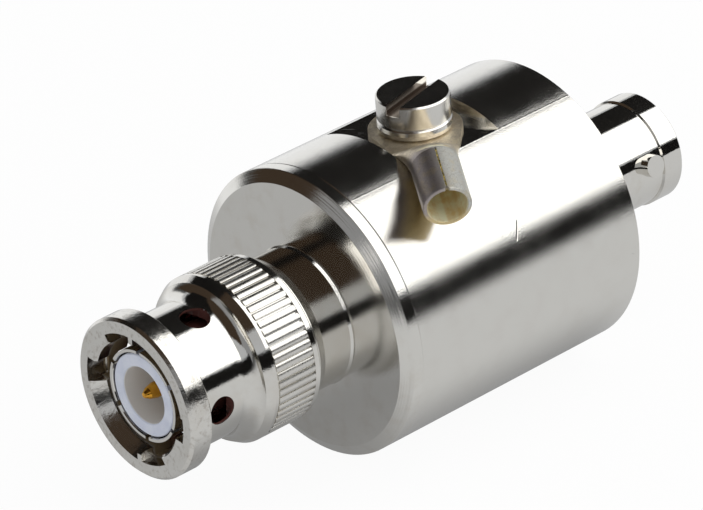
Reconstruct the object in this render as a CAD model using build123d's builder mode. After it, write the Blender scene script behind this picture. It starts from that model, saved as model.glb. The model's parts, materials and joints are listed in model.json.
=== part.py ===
"""Coaxial video surge protector: bayonet plug at one end, bayonet jack at the other,
a round metal housing between them with an earth screw and a ring lug on a milled flat.

Lengths are in millimetres. X runs along the unit's axis from the plug to the jack, and
X = 0 is the front rim of the plug's outer contact. Z runs out through the earth screw.
Angles around the axis are counted from +Y towards +Z.
"""
import os
from math import cos, radians, sin, sqrt

from build123d import *

os.makedirs("parts", exist_ok=True)

# plug contacts
CONTACT_R = 4.05
CONTACT_WALL = 0.3
CONTACT_IN_R = CONTACT_R - CONTACT_WALL
CONTACT_SLOTS = 6
SLOT_WIDTH = 0.42
SLOT_LONG = 4.9
CONTACT_LIP = 1.5
CONTACT_WAIST = 0.08
PIN_R = 0.675
PIN_BACK_R = 0.95
PIN_TIP_X = 0.15
PIN_TIP_LONG = 1.1
DIELECTRIC_BORE_R = 2.48
BORE_DEEP = 5.6
# jack barrel and studs, which the nut's bore and ramps are made for
JACK_BORE_R = CONTACT_R + 0.02
JACK_WALL = 0.77
JACK_RIM_R = JACK_BORE_R + JACK_WALL
JACK_R = JACK_RIM_R - 0.17
STUD_HIGH = 0.66
STUD_TIP_R = JACK_RIM_R + STUD_HIGH
STUD_R = 0.98
# how deep the plug's contact goes into a jack
MATE_DEEP = 8.35
# coupling nut, inside
NUT_FRONT = -0.8
NUT_BORE_R = JACK_RIM_R + 0.11
STUD_WAY_R = STUD_TIP_R + 0.12
RECESS_R = STUD_WAY_R + 0.13
RECESS_DEEP = 1.1
RECESS_FROM = 95
RECESS_TO = 176
WINDOW_DEEP = 3.2
WINDOW_FROM = 58
WINDOW_TO = 90
ENTRY_R = STUD_WAY_R + 0.33
ENTRY_ANGLE = 7.5
ENTRY_SPREAD = 11.5
ENTRY_DEEP = 2.0
ENTRY_WIDTH = 2 * STUD_R + 0.34
RAMP_R = ENTRY_WIDTH / 2
HOLE_R = 1.25
ENTRY_HOLE_X = NUT_FRONT + 4.15
RAMP_TURN = 98
LOCK_ANGLE = ENTRY_ANGLE + RAMP_TURN
RAMP_PITCH = 1.55
RAMP_STEPS = 12
LOCK_HOLE_X = ENTRY_HOLE_X + RAMP_PITCH
# plug body, wave spring, thrust washer, closing ring, sleeve
SPIGOT_R = CONTACT_R + 0.55
PLUG_IN_R = 3.4
SLEEVE_WALL = 1.47
SLEEVE_R = SPIGOT_R + SLEEVE_WALL
RUNNING = 0.08
RING_WALL = 0.45
RING_LIP = 1.3
CHAMBER_R = SLEEVE_R + RUNNING + RING_WALL
GASKET_LONG = 1.0
GASKET_SQUEEZE = 0.15
GASKET_FRONT = MATE_DEEP - GASKET_SQUEEZE
GASKET_R = NUT_BORE_R - 0.28
BODY_FLANGE_FRONT = GASKET_FRONT + GASKET_LONG
BODY_FLANGE_THICK = 0.85
BODY_FLANGE_BACK = BODY_FLANGE_FRONT + BODY_FLANGE_THICK
BODY_FLANGE_R = CHAMBER_R - 0.15
CHAMBER_FRONT = BODY_FLANGE_FRONT - 0.05
SPRING_WIDE = 0.9
SPRING_SEAT_R = BODY_FLANGE_R - SPRING_WIDE - 0.25
TRAVEL = 0.7
SPRING_SHUT = 0.5
SPRING_GAP = SPRING_SHUT + TRAVEL
SPRING_THICK = 0.24
WASHER_FRONT = BODY_FLANGE_BACK + SPRING_GAP
WASHER_THICK = 0.4
WASHER_BACK = WASHER_FRONT + WASHER_THICK
SLEEVE_FRONT = WASHER_BACK + 0.45
SLEEVE_LONG = 5.2
CONTACT_BACK = BODY_FLANGE_BACK + 1.5
# coupling nut, outside
FLANGE_RIM = 1.1
FLANGE_R = ENTRY_R + FLANGE_RIM
FLANGE_THICK = 2.2
FLANGE_BACK = NUT_FRONT + FLANGE_THICK
NECK_R = STUD_WAY_R + 0.28
NUT_WALL = 0.75
KNURL_R = CHAMBER_R + NUT_WALL
SHOULDER_AHEAD = 2.05
SHOULDER_X = CHAMBER_FRONT - SHOULDER_AHEAD
SHOULDER_R = KNURL_R - 0.4
SHOULDER_CONE = 0.7
NECK_END = SHOULDER_X - 1.6
RELIEF_WIDE = 0.15
RELIEF_DEEP = 0.12
KNURL_FRONT = SHOULDER_X + 1.0 + RELIEF_WIDE
KNURL_TEETH = 60
KNURL_DEEP = 0.2
KNURL_CROWN = 0.07
KNURL_TOP = 0.8
KNURL_FOOT = 0.14
RING_LAND = 1.15
NUT_BACK = WASHER_BACK + RING_LAND
KNURL_BACK = NUT_BACK - 0.7
NUT_BACK_R = KNURL_R - 0.1
RING_OUT_R = KNURL_R - 0.47
# housing
BODY_R = 12.71
END_CHAMFER = 0.65
END_FACE_R = BODY_R - 1.04
BACK_CHAMFER = 0.15
CAP_FRONT = SLEEVE_FRONT + SLEEVE_LONG
CAP_RIM = 1.7
CAP_SEAM = CAP_FRONT + CAP_RIM
WALL = 2.21
CAVITY_R = BODY_R - WALL
SPIGOT_DEEP = 2.2
SPIGOT_BACK = CAP_SEAM + SPIGOT_DEEP
TUBE_LONG = 24.8
BODY_BACK = CAP_SEAM + TUBE_LONG
REAR_CAP_THICK = 2.2
REAR_CAP_FRONT = BODY_BACK - REAR_CAP_THICK
SEAM = 0.06
# earth flat, screw and lug
SCREW_SET = 12.05
SCREW_X = CAP_SEAM + SCREW_SET
FLAT_DEEP = 1.11
FLAT_Z = BODY_R - FLAT_DEEP
FLAT_AHEAD = 5.25
FLAT_FRONT = SCREW_X - FLAT_AHEAD
FLAT_BEHIND = 4.55
FLAT_BACK = SCREW_X + FLAT_BEHIND
LUG_SHEET = 0.4
WASHER_STACK = 1.05
WASHER_R = 3.2
HEAD_HIGH = 2.1
HEAD_R = 3.13
HEAD_SLOT = 1.3
HEAD_SLOT_DEEP = 0.9
THREAD_R = 1.5
BUSH_R = 2.4
BUSH_HEAD_R = 3.2
BUSH_HEAD_THICK = 1.6
BUSH_LONG = 4.3
BUSH_FOOT = FLAT_Z - 0.1 - BUSH_LONG
LUG_AZIMUTH = 32.3
LUG_DROP = 15.5
BARREL_R = 2.03
BARREL_WALL = 0.37
BARREL_LONG = 8.05
BARREL_EDGE = 0.07
PALM_R = 3.95
SEAM_HALF = 0.15
SEAM_DEEP = 0.12
NOTCH_HALF = 0.25
NOTCH_DEEP = 0.3
# jack
JACK_OUT = 13.2
JACK_FACE = BODY_BACK + JACK_OUT
JACK_RIM_LONG = 2.35
JACK_RIM_BACK = JACK_FACE - JACK_RIM_LONG
JACK_SEAT_X = JACK_FACE - MATE_DEEP
JACK_SEAT_R = JACK_BORE_R - 0.17
JACK_NOSE_R = DIELECTRIC_BORE_R - 0.08
JACK_NOSE_X = JACK_SEAT_X + BORE_DEEP - 0.25
STUD_SET = 3.85
STUD_X = JACK_FACE - STUD_SET
STUD_ANGLE = 168
STUD_FOOT_R = JACK_BORE_R + 0.25
COLLAR_R = 6.1
COLLAR_LONG = 1.6
COLLAR_BACK = BODY_BACK + COLLAR_LONG
JACK_SPIGOT_R = 5.0
LOCK_RING_THICK = 1.4
LOCK_RING_WIDE = 1.55
JACK_END = REAR_CAP_FRONT - LOCK_RING_THICK
JACK_STEP_X = COLLAR_BACK + 0.8
JACK_IN_R = 2.9
SOCKET_R = 1.05
SOCKET_TAIL = 2.4
CUP_DEEP = 1.3
SOCKET_MOUTH = JACK_NOSE_X - 0.3
SOCKET_END = JACK_SEAT_X - 0.6
SOCKET_SLOT = 0.25
# circuit
BOARD_TOP = -3.2
BOARD_THICK = 1.0
BOARD_UNDER = BOARD_TOP - BOARD_THICK
BOARD_HALF = sqrt(CAVITY_R ** 2 - BOARD_UNDER ** 2) - 0.01
BOARD_FRONT = SPIGOT_BACK + 1.4
BOARD_BACK = REAR_CAP_FRONT - 2.0
WIRE_R = 0.4
# small edges, broken or rounded
EDGE = 0.15
BIG_EDGE = 0.25


def radial(x, angle, start=0.0):
    """A plane whose normal points out from the axis at one angle."""
    a = radians(angle)
    out = Vector(0, cos(a), sin(a))
    return Plane(origin=Vector(x, 0, 0) + out * start, x_dir=(1, 0, 0), z_dir=out)


def turned(points):
    """Closed outline in X and radius, turned about the X axis."""
    with BuildPart() as piece:
        with BuildSketch(Plane.XY):
            with BuildLine():
                Polyline(*points, close=True)
            make_face()
        revolve(axis=Axis.X)
    return piece.part


def on_circle(r, angle):
    """A point at one radius and angle, in a sketch across the axis."""
    return r * cos(radians(angle)), r * sin(radians(angle))


def save(piece, name):
    piece.label = name
    export_step(piece, "parts/" + name + ".step")


# coupling nut
def sector(x0, x1, r, a0, a1):
    """A pie slice of radius r between two angles, for opening a bore."""
    with BuildPart() as piece:
        with BuildSketch(Plane.YZ.offset(x0)):
            with BuildLine():
                Line((0, 0), on_circle(r, a0))
                ThreePointArc(on_circle(r, a0), on_circle(r, (a0 + a1) / 2), on_circle(r, a1))
                Line(on_circle(r, a1), (0, 0))
            make_face()
        extrude(amount=x1 - x0)
    return piece.part


def cone_sector(x, r, deep, small_r, a0, a1):
    """A slice of a cone between two angles: radius r at x, narrowing to small_r further in."""
    slope = (r - small_r) / deep
    a = radians(a0)
    with BuildPart() as piece:
        with BuildSketch(Plane(origin=(0, 0, 0), x_dir=(1, 0, 0), z_dir=(0, -sin(a), cos(a)))):
            with BuildLine():
                Polyline(
                    (x - 0.1, small_r - 0.1),
                    (x - 0.1, r + 0.1 * slope),
                    (x + deep + 0.1 / slope, small_r - 0.1),
                    close=True,
                )
            make_face()
        revolve(axis=Axis.X, revolution_arc=a1 - a0)
    return piece.part


def knurl():
    """Outline of the straight knurl: a crowned tooth and a flat groove, all the way round."""
    pitch = 360 / KNURL_TEETH
    top = pitch * KNURL_TOP / 2
    foot = pitch * (1 - KNURL_FOOT) / 2
    edge_r = KNURL_R - KNURL_CROWN
    root_r = KNURL_R - KNURL_DEEP
    for tooth in range(KNURL_TEETH):
        a = tooth * pitch
        Line(on_circle(root_r, a - foot), on_circle(edge_r, a - top))
        ThreePointArc(on_circle(edge_r, a - top), on_circle(KNURL_R, a), on_circle(edge_r, a + top))
        Line(on_circle(edge_r, a + top), on_circle(root_r, a + foot))
        Line(on_circle(root_r, a + foot), on_circle(root_r, a + pitch - foot))


with BuildPart() as stud_way:
    for turn in (0, 180):
        with BuildSketch(radial((NUT_FRONT + ENTRY_HOLE_X) / 2, ENTRY_ANGLE + turn)):
            Rectangle(ENTRY_HOLE_X - NUT_FRONT + 0.4, ENTRY_WIDTH)
        extrude(amount=STUD_WAY_R + 1)
        for step in range(RAMP_STEPS + 1):
            share = step / RAMP_STEPS
            angle = ENTRY_ANGLE + turn + (LOCK_ANGLE - ENTRY_ANGLE) * share
            x = ENTRY_HOLE_X + RAMP_PITCH * min(1.0, share * 1.05)
            with BuildSketch(radial(x, angle)):
                Circle(RAMP_R)
            extrude(amount=STUD_WAY_R + 1)
    with BuildSketch(Plane.YZ.offset(NUT_FRONT - 1)):
        Circle(STUD_WAY_R)
    extrude(amount=CHAMBER_FRONT - NUT_FRONT + 2, mode=Mode.INTERSECT)

with BuildPart() as nut:
    with BuildSketch(Plane.XY):
        with BuildLine():
            Polyline(
                (NECK_END, NECK_R),
                (FLANGE_BACK + BIG_EDGE, NECK_R),
                (FLANGE_BACK, NECK_R + BIG_EDGE),
                (FLANGE_BACK, FLANGE_R - EDGE),
                (FLANGE_BACK - EDGE, FLANGE_R),
                (NUT_FRONT + BIG_EDGE, FLANGE_R),
                (NUT_FRONT, FLANGE_R - BIG_EDGE),
                (NUT_FRONT, NUT_BORE_R + 0.2),
                (NUT_FRONT + 0.2, NUT_BORE_R),
                (CHAMBER_FRONT, NUT_BORE_R),
                (CHAMBER_FRONT, CHAMBER_R),
                (NUT_BACK, CHAMBER_R),
                (NUT_BACK, NUT_BACK_R - EDGE),
                (NUT_BACK - EDGE, NUT_BACK_R),
                (KNURL_BACK + 0.1, NUT_BACK_R),
                (KNURL_BACK, KNURL_R),
                (SHOULDER_X + SHOULDER_CONE, KNURL_R),
                (SHOULDER_X, SHOULDER_R),
            )
            ThreePointArc((SHOULDER_X, SHOULDER_R), (SHOULDER_X - 0.55, NECK_R + 0.27), (NECK_END, NECK_R))
        make_face()
    revolve(axis=Axis.X)
    # turned relief in front of the knurl
    with BuildSketch(Plane.XY):
        with BuildLine():
            Polyline(
                (KNURL_FRONT - RELIEF_WIDE, KNURL_R + 0.1),
                (KNURL_FRONT - RELIEF_WIDE, KNURL_R - RELIEF_DEEP),
                (KNURL_FRONT, KNURL_R - RELIEF_DEEP),
                (KNURL_FRONT, KNURL_R + 0.1),
                close=True,
            )
        make_face()
    revolve(axis=Axis.X, mode=Mode.SUBTRACT)
    with BuildSketch(Plane.YZ.offset(KNURL_FRONT)):
        Circle(KNURL_R + 0.1)
        with BuildLine():
            knurl()
        make_face(mode=Mode.SUBTRACT)
    extrude(amount=KNURL_BACK - KNURL_FRONT, mode=Mode.SUBTRACT)
    add(stud_way.part, mode=Mode.SUBTRACT)
    for turn in (0, 180):
        add(sector(NUT_FRONT - 0.1, NUT_FRONT + ENTRY_DEEP, ENTRY_R, ENTRY_ANGLE - ENTRY_SPREAD + turn,
                   ENTRY_ANGLE + ENTRY_SPREAD + turn), mode=Mode.SUBTRACT)
        add(cone_sector(NUT_FRONT, RECESS_R, RECESS_DEEP, NUT_BORE_R, RECESS_FROM + turn,
                        RECESS_TO + turn), mode=Mode.SUBTRACT)
        add(sector(NUT_FRONT - 0.1, NUT_FRONT + WINDOW_DEEP, RECESS_R, WINDOW_FROM + turn,
                   WINDOW_TO + turn), mode=Mode.SUBTRACT)
        with BuildSketch(radial(ENTRY_HOLE_X, ENTRY_ANGLE - 1 + turn)):
            Circle(HOLE_R)
        extrude(amount=FLANGE_R + 2, mode=Mode.SUBTRACT)
        with BuildSketch(radial(LOCK_HOLE_X, LOCK_ANGLE + turn)):
            Circle(HOLE_R)
        extrude(amount=FLANGE_R + 2, mode=Mode.SUBTRACT)
save(nut.part, "coupling_nut")

save(turned([
    (WASHER_BACK, SLEEVE_R + RUNNING),
    (WASHER_BACK, CHAMBER_R),
    (NUT_BACK, CHAMBER_R),
    (NUT_BACK, RING_OUT_R),
    (NUT_BACK + BIG_EDGE, RING_OUT_R),
    (NUT_BACK + RING_LIP, SLEEVE_R + RUNNING + 0.12),
    (NUT_BACK + RING_LIP, SLEEVE_R + RUNNING),
]), "closing_ring")

save(turned([
    (WASHER_FRONT, SPRING_SEAT_R + EDGE),
    (WASHER_FRONT, CHAMBER_R - 0.1),
    (WASHER_BACK, CHAMBER_R - 0.1),
    (WASHER_BACK, SPRING_SEAT_R + EDGE),
]), "thrust_washer")

# one turn of flat spring strip with three waves, its ends nearly meeting
SPRING_MID = BODY_FLANGE_BACK + SPRING_GAP / 2
SPRING_WAVE = (SPRING_GAP - SPRING_THICK) / 2 - 0.03
SPRING_R = (SPRING_SEAT_R + CHAMBER_R) / 2
with BuildPart() as wave_spring:
    for angle in range(3, 361, 17):
        a = radians(angle)
        x = SPRING_MID + SPRING_WAVE * cos(3 * a)
        with BuildSketch(Plane(origin=(x, SPRING_R * cos(a), SPRING_R * sin(a)),
                               x_dir=(1, 0, 0), z_dir=(0, -sin(a), cos(a)))):
            Rectangle(SPRING_THICK, SPRING_WIDE)
    loft(ruled=True)
save(wave_spring.part, "wave_spring")

# plug
save(turned([
    (BODY_FLANGE_FRONT, CONTACT_R),
    (BODY_FLANGE_FRONT, BODY_FLANGE_R),
    (BODY_FLANGE_BACK, BODY_FLANGE_R),
    (BODY_FLANGE_BACK, SPRING_SEAT_R),
    (SLEEVE_FRONT, SPRING_SEAT_R),
    (SLEEVE_FRONT, SPIGOT_R),
    (SPIGOT_BACK, SPIGOT_R),
    (SPIGOT_BACK, PLUG_IN_R),
    (CONTACT_BACK, PLUG_IN_R),
    (CONTACT_BACK, CONTACT_R),
]), "plug_body")

with BuildPart() as outer_contact:
    with BuildSketch(Plane.XY):
        with BuildLine():
            Polyline(
                (0.0, CONTACT_IN_R + 0.05),
                (0.0, CONTACT_R),
                (CONTACT_LIP, CONTACT_R),
                (CONTACT_LIP + 0.8, CONTACT_R - CONTACT_WAIST),
                (BORE_DEEP - 1.0, CONTACT_R - CONTACT_WAIST),
                (BORE_DEEP - 0.4, CONTACT_R),
                (CONTACT_BACK, CONTACT_R),
                (CONTACT_BACK, CONTACT_IN_R),
                (0.1, CONTACT_IN_R),
                close=True,
            )
        make_face()
    revolve(axis=Axis.X)
    with BuildSketch(Plane.YZ.offset(-0.1)):
        for k in range(CONTACT_SLOTS // 2):
            Rectangle(2 * CONTACT_R + 1, SLOT_WIDTH, rotation=30 + 360 / CONTACT_SLOTS * k)
    extrude(amount=SLOT_LONG + 0.1, mode=Mode.SUBTRACT)
save(outer_contact.part, "outer_contact")

save(turned([
    (0.12, DIELECTRIC_BORE_R + 0.1),
    (0.12, CONTACT_IN_R - 0.2),
    (0.2, CONTACT_IN_R - 0.12),
    (BORE_DEEP - 0.3, CONTACT_IN_R - 0.12),
    (BORE_DEEP - 0.3, CONTACT_IN_R),
    (CONTACT_BACK, CONTACT_IN_R),
    (CONTACT_BACK, PLUG_IN_R),
    (SPIGOT_BACK - 0.6, PLUG_IN_R),
    (SPIGOT_BACK - 0.6, PIN_BACK_R),
    (BORE_DEEP, PIN_BACK_R),
    (BORE_DEEP, DIELECTRIC_BORE_R),
    (0.22, DIELECTRIC_BORE_R),
]), "plug_insulator")

save(turned([
    (PIN_TIP_X, 0.0),
    (PIN_TIP_X, PIN_R / 3),
    (PIN_TIP_X + PIN_TIP_LONG * 0.4, PIN_R * 0.75),
    (PIN_TIP_X + PIN_TIP_LONG, PIN_R),
    (BORE_DEEP, PIN_R),
    (BORE_DEEP, PIN_BACK_R),
    (SPIGOT_BACK + 1.0, PIN_BACK_R),
    (SPIGOT_BACK + 1.0, WIRE_R),
    (SPIGOT_BACK - 0.3, WIRE_R),
    (SPIGOT_BACK - 0.3, 0.0),
]), "plug_pin")

save(turned([
    (GASKET_FRONT, CONTACT_R),
    (GASKET_FRONT, GASKET_R - EDGE),
    (GASKET_FRONT + EDGE, GASKET_R),
    (BODY_FLANGE_FRONT - EDGE, GASKET_R),
    (BODY_FLANGE_FRONT, GASKET_R - EDGE),
    (BODY_FLANGE_FRONT, CONTACT_R),
]), "gasket")

save(turned([
    (SLEEVE_FRONT, SPIGOT_R),
    (SLEEVE_FRONT, SLEEVE_R - 0.1),
    (SLEEVE_FRONT + 0.1, SLEEVE_R),
    (CAP_FRONT - 0.25, SLEEVE_R),
    (CAP_FRONT, SLEEVE_R + 0.1),
    (CAP_FRONT, SPIGOT_R),
]), "neck_sleeve")

# housing
save(turned([
    (CAP_FRONT, SPIGOT_R),
    (CAP_FRONT, END_FACE_R),
    (CAP_FRONT + END_CHAMFER, BODY_R),
    (CAP_SEAM - SEAM, BODY_R),
    (CAP_SEAM, BODY_R - SEAM),
    (CAP_SEAM, CAVITY_R),
    (SPIGOT_BACK, CAVITY_R),
    (SPIGOT_BACK, SPIGOT_R),
]), "front_cap")

with BuildPart() as tube:
    with BuildSketch(Plane.XY):
        with BuildLine():
            Polyline(
                (CAP_SEAM, CAVITY_R),
                (CAP_SEAM, BODY_R - SEAM),
                (CAP_SEAM + SEAM, BODY_R),
                (BODY_BACK - BACK_CHAMFER, BODY_R),
                (BODY_BACK, BODY_R - BACK_CHAMFER),
                (BODY_BACK, CAVITY_R),
                close=True,
            )
        make_face()
    revolve(axis=Axis.X)
    # milled flat under the earth lug
    with BuildSketch(Plane.XY.offset(FLAT_Z)):
        with Locations(((FLAT_FRONT + FLAT_BACK) / 2, 0)):
            Rectangle(FLAT_BACK - FLAT_FRONT, 2 * BODY_R)
    extrude(amount=2 * FLAT_DEEP, mode=Mode.SUBTRACT)
    # seat for the earth bush, pressed in from inside
    with BuildSketch(Plane.XY.offset(BUSH_FOOT)):
        with Locations((SCREW_X, 0)):
            Circle(BUSH_R)
    extrude(amount=BUSH_LONG + 2, mode=Mode.SUBTRACT)
save(tube.part, "housing_tube")

save(turned([
    (REAR_CAP_FRONT, JACK_SPIGOT_R),
    (REAR_CAP_FRONT, CAVITY_R),
    (BODY_BACK, CAVITY_R),
    (BODY_BACK, JACK_SPIGOT_R),
]), "rear_cap")

# earth screw, washer, lug
with BuildPart() as bush:
    with BuildSketch(Plane.XY.offset(BUSH_FOOT)):
        with Locations((SCREW_X, 0)):
            Circle(BUSH_R)
    extrude(amount=BUSH_LONG)
    with BuildSketch(Plane.XY.offset(BUSH_FOOT)):
        with Locations((SCREW_X, 0)):
            Circle(BUSH_HEAD_R)
    extrude(amount=BUSH_HEAD_THICK)
    with BuildSketch(Plane.XY.offset(BUSH_FOOT)):
        with Locations((SCREW_X, 0)):
            Circle(THREAD_R)
    extrude(amount=BUSH_LONG, mode=Mode.SUBTRACT)
save(bush.part, "earth_bush")

STACK_TOP = FLAT_Z + LUG_SHEET + WASHER_STACK
HEAD_TOP = STACK_TOP + HEAD_HIGH
with BuildPart() as screw:
    with BuildSketch(Plane.XZ):
        with BuildLine():
            Polyline(
                (0, BUSH_FOOT + 0.2),
                (THREAD_R - 0.3, BUSH_FOOT + 0.2),
                (THREAD_R, BUSH_FOOT + 0.5),
                (THREAD_R, STACK_TOP),
                (HEAD_R - 0.1, STACK_TOP),
                (HEAD_R, STACK_TOP + 0.1),
                (HEAD_R, HEAD_TOP - 0.14),
                (HEAD_R - 0.14, HEAD_TOP),
                (0, HEAD_TOP),
                close=True,
            )
        make_face()
    revolve(axis=Axis.Z)
    with BuildSketch(Plane.XY.offset(HEAD_TOP - HEAD_SLOT_DEEP)):
        Rectangle(3 * HEAD_R, HEAD_SLOT, rotation=14.1)
    extrude(amount=2, mode=Mode.SUBTRACT)
save(Pos(SCREW_X, 0, 0) * screw.part, "earth_screw")

with BuildPart() as lock_washer:
    with BuildSketch(Plane.XZ):
        with BuildLine():
            Polyline(
                (THREAD_R + 0.15, FLAT_Z + LUG_SHEET),
                (WASHER_R - 0.25, FLAT_Z + LUG_SHEET),
                (WASHER_R - 0.06, FLAT_Z + LUG_SHEET + 0.19),
                (WASHER_R, FLAT_Z + LUG_SHEET + WASHER_STACK / 2),
                (WASHER_R - 0.06, STACK_TOP - 0.19),
                (WASHER_R - 0.25, STACK_TOP),
                (THREAD_R + 0.15, STACK_TOP),
                close=True,
            )
        make_face()
    revolve(axis=Axis.Z)
    with BuildSketch(Plane.XY.offset(FLAT_Z)):
        with Locations((WASHER_R * cos(radians(-35)), WASHER_R * sin(radians(-35)))):
            Rectangle(WASHER_R + 0.6, 0.4, rotation=-35)
    extrude(amount=3, mode=Mode.SUBTRACT)
save(Pos(SCREW_X, 0, 0) * lock_washer.part, "lock_washer")

# ring lug, drawn along its own length u, then turned to its place
BEND_U = 6.2
FUNNEL_LONG = 3.0
BEND_Z = FLAT_Z + 0.02 + BARREL_R
TAN_DROP = sin(radians(LUG_DROP)) / cos(radians(LUG_DROP))
JOIN_U = BEND_U + FUNNEL_LONG
JOIN_Z = BEND_Z - (JOIN_U - BEND_U) * TAN_DROP
JOIN_ALONG = (JOIN_U - BEND_U) / cos(radians(LUG_DROP))
# along the lug from the bend, wider than the barrel, underside, top, tilt
FUNNEL = [
    (-2.5, 0.87, 0.06, 0.34, 0),
    (-1.2, 0.69, 0.04, 1.0, 2),
    (0.2, 0.42, 0.03, 1.95, 6),
    (1.6, 0.12, -0.4, 2.7, 12),
]
barrel_dir = Vector(cos(radians(LUG_DROP)), 0, -sin(radians(LUG_DROP)))
barrel_up = Vector(sin(radians(LUG_DROP)), 0, cos(radians(LUG_DROP)))
MOUTH = Vector(BEND_U, 0, BEND_Z) + barrel_dir * BARREL_LONG


def across(u, z, tilt=0.0):
    """A plane facing along the lug, tilted down by some degrees."""
    z_dir = Vector(cos(radians(tilt)), 0, -sin(radians(tilt)))
    return Plane(origin=(u, 0, z), x_dir=(0, 1, 0), z_dir=z_dir)


with BuildPart() as lug:
    # palm, flat sheet with its sides running in to the barrel
    with BuildSketch(Plane.XY.offset(FLAT_Z)):
        Circle(PALM_R)
        with BuildLine():
            Polyline(
                (PALM_R * 0.3, PALM_R * 0.942),
                (BEND_U - 0.6, BARREL_R + 0.42),
                (BEND_U - 0.6, -BARREL_R - 0.42),
                (PALM_R * 0.3, -PALM_R * 0.942),
                close=True,
            )
        make_face()
    extrude(amount=LUG_SHEET)
    # funnel from sheet to barrel, then the barrel
    for along, wider, low, high, tilt in FUNNEL:
        with BuildSketch(across(BEND_U + along, FLAT_Z + (low + high) / 2, tilt)):
            Ellipse(BARREL_R + wider, (high - low) / 2)
    with BuildSketch(across(JOIN_U, JOIN_Z, LUG_DROP)):
        Circle(BARREL_R)
    loft()
    with BuildSketch(across(JOIN_U, JOIN_Z, LUG_DROP)):
        Circle(BARREL_R)
    extrude(amount=BARREL_LONG - JOIN_ALONG)
    # bore from the mouth, and the screw's hole
    with BuildSketch(Plane(origin=MOUTH + barrel_dir * 0.5, x_dir=(0, 1, 0), z_dir=-barrel_dir)):
        Circle(BARREL_R - BARREL_WALL)
    extrude(amount=BARREL_LONG - JOIN_ALONG + 0.8, mode=Mode.SUBTRACT)
    chamfer(lug.edges().filter_by(GeomType.CIRCLE).sort_by_distance(MOUTH)[:2], BARREL_EDGE)
    # the rolled sheet's edges meet in a brazed seam along the top and part at the mouth
    with BuildSketch(across(JOIN_U, JOIN_Z, LUG_DROP)):
        with BuildLine():
            Polyline((-SEAM_HALF, BARREL_R + 0.1), (SEAM_HALF, BARREL_R + 0.1), (0, BARREL_R - SEAM_DEEP),
                     close=True)
        make_face()
    extrude(amount=BARREL_LONG - JOIN_ALONG + 0.1, mode=Mode.SUBTRACT)
    with BuildSketch(Plane(origin=MOUTH + barrel_up * (BARREL_R + 0.2), x_dir=barrel_dir, z_dir=barrel_up)):
        with BuildLine():
            Polyline((0.1, -NOTCH_HALF), (0.1, NOTCH_HALF), (-NOTCH_DEEP, 0), close=True)
        make_face()
    extrude(amount=-BARREL_WALL - 0.7, mode=Mode.SUBTRACT)
    with BuildSketch(Plane.XY.offset(FLAT_Z - 1)):
        Circle(THREAD_R + 0.2)
    extrude(amount=3, mode=Mode.SUBTRACT)
save(Pos(SCREW_X, 0, 0) * Rot(0, 0, 270 - LUG_AZIMUTH) * lug.part, "ring_lug")

# jack
with BuildPart() as jack:
    with BuildSketch(Plane.XY):
        with BuildLine():
            Polyline(
                (JACK_END, JACK_SPIGOT_R),
                (BODY_BACK, JACK_SPIGOT_R),
                (BODY_BACK, COLLAR_R),
                (COLLAR_BACK - 0.2, COLLAR_R),
                (COLLAR_BACK, COLLAR_R - 0.2),
                (COLLAR_BACK, JACK_R),
                (JACK_RIM_BACK, JACK_R),
                (JACK_RIM_BACK + 0.12, JACK_RIM_R),
                (JACK_FACE - 0.2, JACK_RIM_R),
                (JACK_FACE, JACK_RIM_R - 0.2),
                (JACK_FACE, JACK_BORE_R + 0.25),
                (JACK_FACE - 0.25, JACK_BORE_R),
                (JACK_SEAT_X, JACK_BORE_R),
                (JACK_SEAT_X, JACK_SEAT_R),
                (JACK_STEP_X, JACK_SEAT_R),
                (JACK_STEP_X, JACK_IN_R),
                (JACK_END, JACK_IN_R),
                close=True,
            )
        make_face()
    revolve(axis=Axis.X)
    for turn in (0, 180):
        with BuildSketch(radial(STUD_X, STUD_ANGLE + turn, STUD_FOOT_R)):
            Circle(STUD_R)
        extrude(amount=STUD_TIP_R - STUD_FOOT_R)
save(jack.part, "jack_body")

save(turned([
    (JACK_END, JACK_SPIGOT_R),
    (JACK_END, JACK_SPIGOT_R + LOCK_RING_WIDE - EDGE),
    (JACK_END + EDGE, JACK_SPIGOT_R + LOCK_RING_WIDE),
    (REAR_CAP_FRONT, JACK_SPIGOT_R + LOCK_RING_WIDE),
    (REAR_CAP_FRONT, JACK_SPIGOT_R),
]), "jack_lock_ring")

save(turned([
    (JACK_END - 0.6, SOCKET_R),
    (JACK_END - 0.6, JACK_IN_R),
    (JACK_STEP_X, JACK_IN_R),
    (JACK_STEP_X, JACK_SEAT_R),
    (JACK_SEAT_X, JACK_SEAT_R),
    (JACK_SEAT_X, JACK_NOSE_R),
    (JACK_NOSE_X - 0.25, JACK_NOSE_R),
    (JACK_NOSE_X, JACK_NOSE_R - 0.25),
    (JACK_NOSE_X, SOCKET_R),
]), "jack_insulator")

with BuildPart() as jack_contact:
    with BuildSketch(Plane.XY):
        with BuildLine():
            Polyline(
                (JACK_END - SOCKET_TAIL, WIRE_R),
                (JACK_END - SOCKET_TAIL, SOCKET_R),
                (SOCKET_MOUTH - 0.1, SOCKET_R),
                (SOCKET_MOUTH, SOCKET_R - 0.1),
                (SOCKET_MOUTH, PIN_R + 0.1),
                (SOCKET_MOUTH - 0.15, PIN_R + 0.01),
                (SOCKET_END, PIN_R + 0.01),
                (SOCKET_END - 0.4, 0.0),
                (JACK_END - SOCKET_TAIL + CUP_DEEP, 0.0),
                (JACK_END - SOCKET_TAIL + CUP_DEEP, WIRE_R),
                close=True,
            )
        make_face()
    revolve(axis=Axis.X)
    with BuildSketch(Plane.YZ.offset(SOCKET_END + 1)):
        Rectangle(3 * SOCKET_R, SOCKET_SLOT)
        Rectangle(SOCKET_SLOT, 3 * SOCKET_R)
    extrude(amount=SOCKET_MOUTH - SOCKET_END, mode=Mode.SUBTRACT)
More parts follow.
